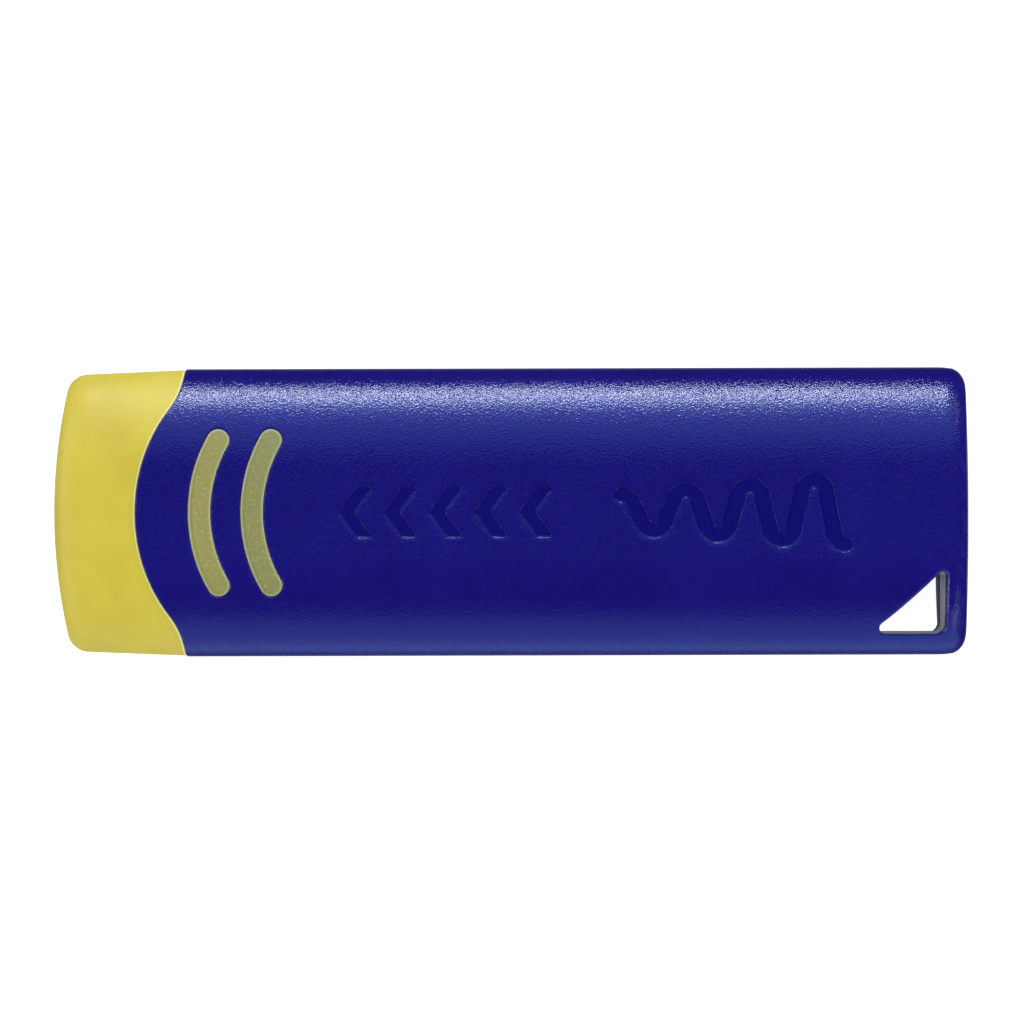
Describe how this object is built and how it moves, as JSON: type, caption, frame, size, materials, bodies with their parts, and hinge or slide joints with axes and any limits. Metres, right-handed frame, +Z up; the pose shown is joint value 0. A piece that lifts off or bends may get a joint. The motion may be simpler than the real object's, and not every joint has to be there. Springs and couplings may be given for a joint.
{
  "type": "pocket eraser",
  "caption": "Flat pocket eraser: a translucent yellow rubber tip in a rounded blue plastic case, with arc windows and a lanyard hole.",
  "frame": {"origin": "under the middle of the case, on the surface that its back face lies on", "axes": "+X along the length from the rubber tip to the lanyard hole, +Y across the width away from the lanyard hole, +Z up out of the front face"},
  "size_m": [0.0635, 0.02, 0.012],
  "materials": {
    "case_plastic": "moulded ABS, dark blue, fine spark-eroded grain",
    "rubber": "translucent yellow elastomer, satin",
    "core_plastic": "moulded plastic, blue, plain"
  },
  "bodies": {
    "root": {"front_shell": "case_plastic", "back_shell": "case_plastic", "eraser": "rubber", "eraser_core": "core_plastic"}
  },
  "joints": []
}
